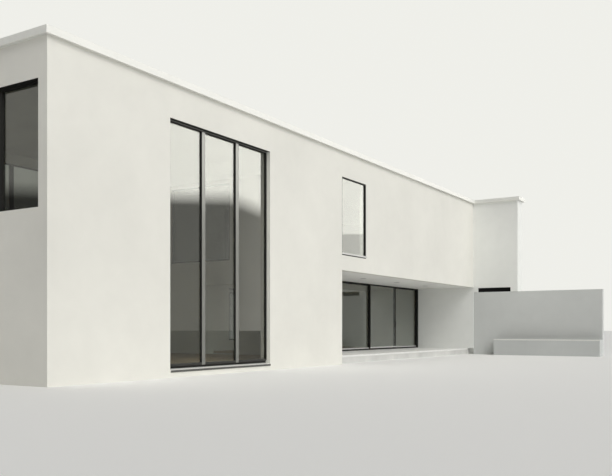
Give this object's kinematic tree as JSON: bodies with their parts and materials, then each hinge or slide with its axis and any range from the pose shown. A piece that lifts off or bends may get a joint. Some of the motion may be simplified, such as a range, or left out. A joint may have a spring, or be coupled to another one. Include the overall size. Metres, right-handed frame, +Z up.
{
  "type": "detached house",
  "caption": "Modern white house with a flat roof, a tall hall window, a recessed terrace behind sliding glazing, and an end wall that runs out over a garden wall with a planter.",
  "frame": {"origin": "on the ground under the middle of the part's box", "axes": "+X along the front towards the end wall, +Y from the front into the house, +Z up"},
  "size_m": [23.33, 12.63, 6.61],
  "materials": {
    "stucco": "smooth trowelled render, matt",
    "concrete": "cast, matt",
    "floor_finish": "oiled boards, satin",
    "paving": "honed slabs",
    "soil": "loose soil",
    "roofing": "mineral felt",
    "coping": "satin",
    "sill_metal": "light anodised, satin",
    "dark_metal": "dark anodised, satin",
    "glass": "clear",
    "steel": "brushed"
  },
  "bodies": {
    "house": {"front_wall": "stucco", "upper_front_wall": "stucco", "west_wall": "stucco", "back_wall": "stucco", "inner_wall": "stucco", "end_wall": "stucco", "garden_wall": "stucco", "planter": "stucco", "terrace_soffit": "stucco", "ground_slab": "concrete", "upper_floor": "concrete", "roof_slab": "concrete", "hall_floor": "floor_finish", "room_floor": "floor_finish", "terrace_paving": "paving", "planter_soil": "soil", "roofing": "roofing", "roof_upstands": "roofing", "front_coping": "coping", "west_coping": "coping", "back_coping": "coping", "end_coping": "coping", "tall_sills": "sill_metal", "small_sill": "sill_metal", "tall_window_frame": "dark_metal", "back_tall_frame": "dark_metal", "small_window_frame": "dark_metal", "west_window_frame": "dark_metal", "back_window_frames": "dark_metal", "gallery_frame": "dark_metal", "terrace_track": "dark_metal", "fixed_panels": "dark_metal", "slot_panel": "dark_metal", "tall_window_glass": "glass", "back_tall_glass": "glass", "small_window_glass": "glass", "west_window_glass": "glass", "back_window_glass": "glass", "gallery_glass": "glass", "fixed_panel_glass": "glass", "downlights": "steel"},
    "sliding_door": {"sliding_leaf": "dark_metal", "sliding_leaf_glass": "glass", "leaf_rollers": "steel", "leaf_handle": "dark_metal"}
  },
  "joints": [
    {"name": "door_slide", "type": "slide", "parent": "house", "child": "sliding_door", "axis": [-1, 0, 0], "range_m": [0, 2.1]}
  ]
}
